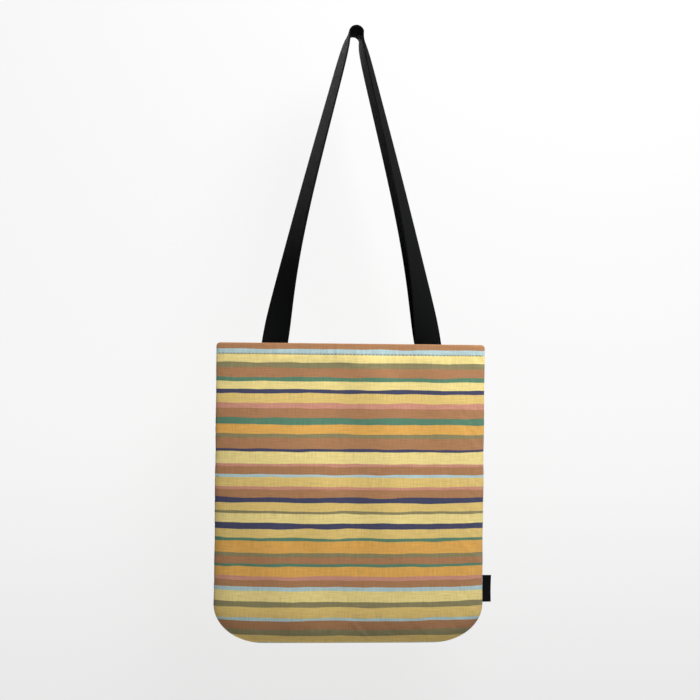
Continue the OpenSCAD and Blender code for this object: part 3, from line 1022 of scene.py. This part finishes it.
# %% Stitch the hems
def line_on(points, place, down, target, inside):
    """The row of a panel's grid nearest to a distance below the hem, and how far across each point is."""
    crest = int(np.argmax(points[:, points.shape[1] // 2, 2]))
    rows = range(crest) if inside else range(crest, len(points))
    best = min(rows, key=lambda i: abs(abs(down[i]) - target))
    return points[best, 2:-2], place[best, 2:-2, 0]


def outward(line, direction):
    """Directions square to a line that lies level, pointing to one side of it."""
    run = np.gradient(line, axis=0)
    out = np.stack([-run[:, 1], run[:, 0], np.zeros(len(run))], -1)
    out /= np.linalg.norm(out, axis=1)[:, None]
    return out * np.sign(out[:, 1] * direction)[:, None]


def stretch(line, out, across, low, high):
    """The part of a line between two places on the cloth, with a point at every quarter of a stitch."""
    wanted = np.arange(low, high, HEM_PITCH / 4)
    order = np.argsort(across)
    return [np.stack([np.interp(wanted, across[order], values[order, i]) for i in range(3)], -1)
            for values in (line, out)]


THREAD_RADIUS = 0.00030
FACING_END = HALF_WIDTH - 0.014     # where the stitches on the facing stop, short of the seams
HEM_REACH = HEM_PITCH * (math.floor((HALF_WIDTH - 0.002) / HEM_PITCH) + 0.05)
for points, place, side, word in ((front_face, front_place, 1, "front"), (back_face, back_place, -1, "back")):
    down = place[:, place.shape[1] // 2, 1]
    outside, across = line_on(points, place, down, HEM_STITCH, False)
    lines = [stretch(outside, outward(outside, -side), across, -HEM_REACH, HEM_REACH)]
    facing, across = line_on(points, place, down, HEM_STITCH, True)
    facing_out = outward(facing, side)
    inner_edge, outer_edge = (STRAP_X + way * (STRAP_WIDTH / 2 + 0.001) for way in (-1, 1))
    for low, high in ((-FACING_END, -outer_edge), (-inner_edge, inner_edge), (outer_edge, FACING_END)):
        lines.append(stretch(facing, facing_out, across, low, high))
    mesh = stitch_rows(word + "_hem_stitches", lines, HEM_THREAD, pitch=HEM_PITCH,
                       thread_radius=THREAD_RADIUS, slant=0.0009, run=0.0033)
    thread_piece = link(word + "_hem_stitches", mesh)
    cloth_blend(thread_piece, side)
    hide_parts(word + "_hem_thread")
print("a hem has", len(mesh.polygons), "faces of thread")

# %% [markdown]
# ### Seam stitches and overlocking
#
# The seam strip carries a straight row of lockstitch near the seam, and overlock loops that wrap
# its free edge so that the canvas doesn't fray. The loops use the same tree, with an arc that
# reaches across the strip's edge.

# %% Stitch the seam strip
LOCK_INSET = ALLOWANCE_IN + 0.003                         # the lockstitch row, near the seam
LOOP_INSET = ALLOWANCE_IN + ALLOWANCE_WIDTH - 0.0018      # the overlocking, at the free edge
lock, overlock = [], []
for side in (1, -1):
    wave = 0.00022 * waves(along, 0.012, 0.04, 71)
    for inset, wanted, share in ((LOCK_INSET, lock, 0.3), (LOOP_INSET, overlock, 0.82)):
        path = allowance_path(inset)
        level = -side * (ALLOWANCE_THICK / 2 + 0.00002) + wave * share
        line = np.stack([path[:, 0], level, path[:, 1]], -1)
        wanted.append((line, np.broadcast_to((0.0, -float(side), 0.0), line.shape)))
locked = stitch_rows("seam_lock", lock, SEAM_THREAD, thread_radius=0.00018, pitch=0.003, run=0.0023)
looped = stitch_rows("seam_loops", overlock, SEAM_THREAD, thread_radius=0.00016, pitch=0.0019, run=0.0012,
                     slant=0.0036, lift=0.0002)
seam_stitches = join([link("seam_stitches", locked), link("seam_loops", looped)])
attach(seam_stitches, "bag")
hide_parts("left_seam_thread", "right_seam_thread", "bottom_seam_thread")
print("the seam strip has", len(seam_stitches.data.polygons), "faces of thread")

# %% [markdown]
# ### Strap tacks
#
# Two rows of black stitching hold each foot of a handle inside the hem. They show only inside the
# mouth.

# %% Tack the handles
TACK_DROPS = (0.004, HEM_STITCH)      # the two rows, below the hem's top edge
TACK_HALF = STRAP_WIDTH / 2 - 0.003   # half of a row's length


def tack_line(drop, hand, side):
    """One row across a strap's foot, and the direction out of the webbing at each of its points."""
    mirror = np.array((-hand, side, 1))
    middle, wide, out = (np.array(v) * mirror for v in foot_ring(HEM_Z - drop))
    reach = np.linspace(-1, 1, 12)[:, None] * TACK_HALF
    line = middle + wide * reach - out * (STRAP_THICK / 2 + 0.0001)
    return line, np.broadcast_to(-out, line.shape)


for side, word in ((1, "front"), (-1, "back")):
    for hand, hand_word in ((-1, "left"), (1, "right")):
        lines = [tack_line(drop, hand, side) for drop in TACK_DROPS]
        mesh = stitch_rows("tack", lines, BLACK_THREAD, thread_radius=0.00022, pitch=0.0034, run=0.0026)
        name = f"{word}_{hand_word}_tack"
        tack = link(name + "_stitches", mesh, word + "_face")
        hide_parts(name)
print("each tack has", len(mesh.polygons), "faces of thread")

# %% [markdown]
# ## The side label
#
# A short black ribbon is folded double and caught in the right side seam near the bottom. It is a
# blank: it carries no words. The ribbon is one strip whose two plies meet at a round fold.

# %% Fold the label
LABEL_PLY = 0.00034
LABEL_GAP = 0.00010


def label_line(reverse):
    """The folded ribbon seen from above, as (x, y), on its face or its reverse."""
    radius = LABEL_GAP / 2 + (0 if reverse else LABEL_PLY)
    fold_x = label_high.x - LABEL_GAP / 2 - LABEL_PLY
    start = HALF_WIDTH + 0.00015
    straight = np.linspace(start, fold_x, 16)[:-1]
    turn = np.linspace(-np.pi / 2, np.pi / 2, 11)
    near_side = [(x, -radius) for x in straight]
    bend = [(fold_x + radius * math.cos(a), radius * math.sin(a)) for a in turn]
    far_side = [(x, radius) for x in reversed(straight)]
    return np.array(near_side + bend + far_side)


def label_skin(reverse):
    heights = np.linspace(label_low.z, label_high.z, 30)
    line = label_line(reverse)
    share = (line[:, 0] - HALF_WIDTH) / (label_high.x - HALF_WIDTH)
    tall = (heights - label_low.z) / (label_high.z - label_low.z)
    curl = 0.0011 * share[None, :] ** 2 * np.cos(2.2 * tall[:, None] - 0.7)
    x = np.broadcast_to(line[:, 0], curl.shape) - 0.0003 * share[None, :] * np.sin(3 * tall[:, None])
    return np.stack([x, line[:, 1] + curl, np.broadcast_to(heights[:, None], curl.shape)], -1)


label_face, label_reverse = label_skin(False), label_skin(True)
ribbon_run = np.concatenate([[0], np.cumsum(np.linalg.norm(np.diff(label_line(False), axis=0), axis=1))])
ribbon_place = np.stack(np.broadcast_arrays(ribbon_run[None, :], (label_face[:, :1, 2] - label_low.z)), -1)
label = link("side_ribbon", two_sided("side_ribbon", label_face, label_reverse, ribbon_place, RIBBON, RIBBON))
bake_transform(label)
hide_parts("side_label")
print("the label ribbon is", round(1000 * ribbon_run[-1], 1), "mm long before folding")

for cloth, word in ((front_cloth, "front"), (back_cloth, "back")):
    word + "_strap"

# %% [markdown]
# ## Floor, wall and light
#
# The bag hangs against a pale wall under soft studio light. The key light stands to the upper right,
# so the bag's lower left falls off a little. The wall shows only from its front, so the bag can be
# viewed from behind as well.

# %% Set the stage
FLOOR_Z = -1.35
WALL_Y = 0.12


def plain_finish(name, colour):
    material, graph = new_material(name)
    place = graph.add("ShaderNodeTexCoord", {}, {}, output=3)
    mottled = graph.add("ShaderNodeTexNoise", {}, {"Vector": place, "Scale": 3.0, "Detail": 2.0})
    darker = tuple(v * 0.985 for v in colour[:3]) + (1.0,)
    shade(graph, graph.mix(mottled, colour, darker), 0.95, specular=0.1)
    return material


def one_sided(name, colour, shaded_low_colour, shadow_share=0.09):
    """A wall that glows evenly, with painted shade that darkens it low down; a small share is lit by the
    lamps, so it takes shadows, and light and eyes pass through it from behind.
    """
    material, graph = new_material(name)
    facing = graph.add("ShaderNodeNewGeometry", {}, {}, output=6)
    split = graph.add("ShaderNodeTexCoord", {}, {}, output=3)
    height = graph.tree.nodes.new("ShaderNodeSeparateXYZ")
    graph.tree.links.new(split.socket, height.inputs[0])
    # Painted shade: the wall's glow darkens towards its bottom.
    falls = 1 - Wire(graph, height.outputs[2]).ramp(-0.92, -0.45)
    even = graph.add("ShaderNodeEmission", {}, {"Color": graph.mix(falls, colour, shaded_low_colour)})
    lit = graph.add("ShaderNodeBsdfDiffuse", {}, {"Color": colour})
    wall = graph.add("ShaderNodeMixShader", {}, {0: shadow_share, 1: even, 2: lit})
    clear = graph.add("ShaderNodeBsdfTransparent")
    surface = graph.add("ShaderNodeMixShader", {}, {0: facing, 1: wall, 2: clear})
    graph.add("ShaderNodeOutputMaterial", {}, {"Surface": surface})
    return material


def plate(name, corners, material):
    mesh = bpy.data.meshes.new(name)
    mesh.from_pydata(corners, [], [tuple(range(len(corners)))])
    mesh.materials.append(material)
    return link(name, mesh)


floor = plate("floor", [(-6, -6, FLOOR_Z), (6, -6, FLOOR_Z), (6, 6, FLOOR_Z), (-6, 6, FLOOR_Z)],
              plain_finish("pale floor", (0.82, 0.81, 0.79, 1.0)))
wall = plate("wall", [(-3, WALL_Y, FLOOR_Z), (3, WALL_Y, FLOOR_Z), (3, WALL_Y, 2), (-3, WALL_Y, 2)],
             one_sided("pale wall", (0.94, 0.94, 0.94, 1.0), (0.83, 0.83, 0.83, 1.0)))
for kind in ("diffuse", "glossy", "transmission", "shadow"):
    setattr(wall, "visible_" + kind, False)

world = bpy.data.worlds.new("studio")
world.use_nodes = True
bpy.context.scene.world = world
world.node_tree.nodes["Background"].inputs["Color"].default_value = (1.0, 1.0, 1.0, 1.0)
world.node_tree.nodes["Background"].inputs["Strength"].default_value = 0.15
bpy.context.scene.view_settings.view_transform = "Standard"


def area_light(name, place, target, size, power):
    """A soft square light that shines at a point."""
    data = bpy.data.lights.new(name, "AREA")
    data.size = size
    data.energy = power
    light = bpy.data.objects.new(name, data)
    bpy.context.scene.collection.objects.link(light)
    light.location = place
    light.rotation_euler = (Vector(target) - Vector(place)).to_track_quat("-Z", "Y").to_euler()
    return light


area_light("key", (0.38, -0.62, 0.50), (0, 0, -0.42), 0.6, 21)
area_light("back fill", (-1.0, 2.0, 0.6), (0, 0, -0.45), 1.2, 30)
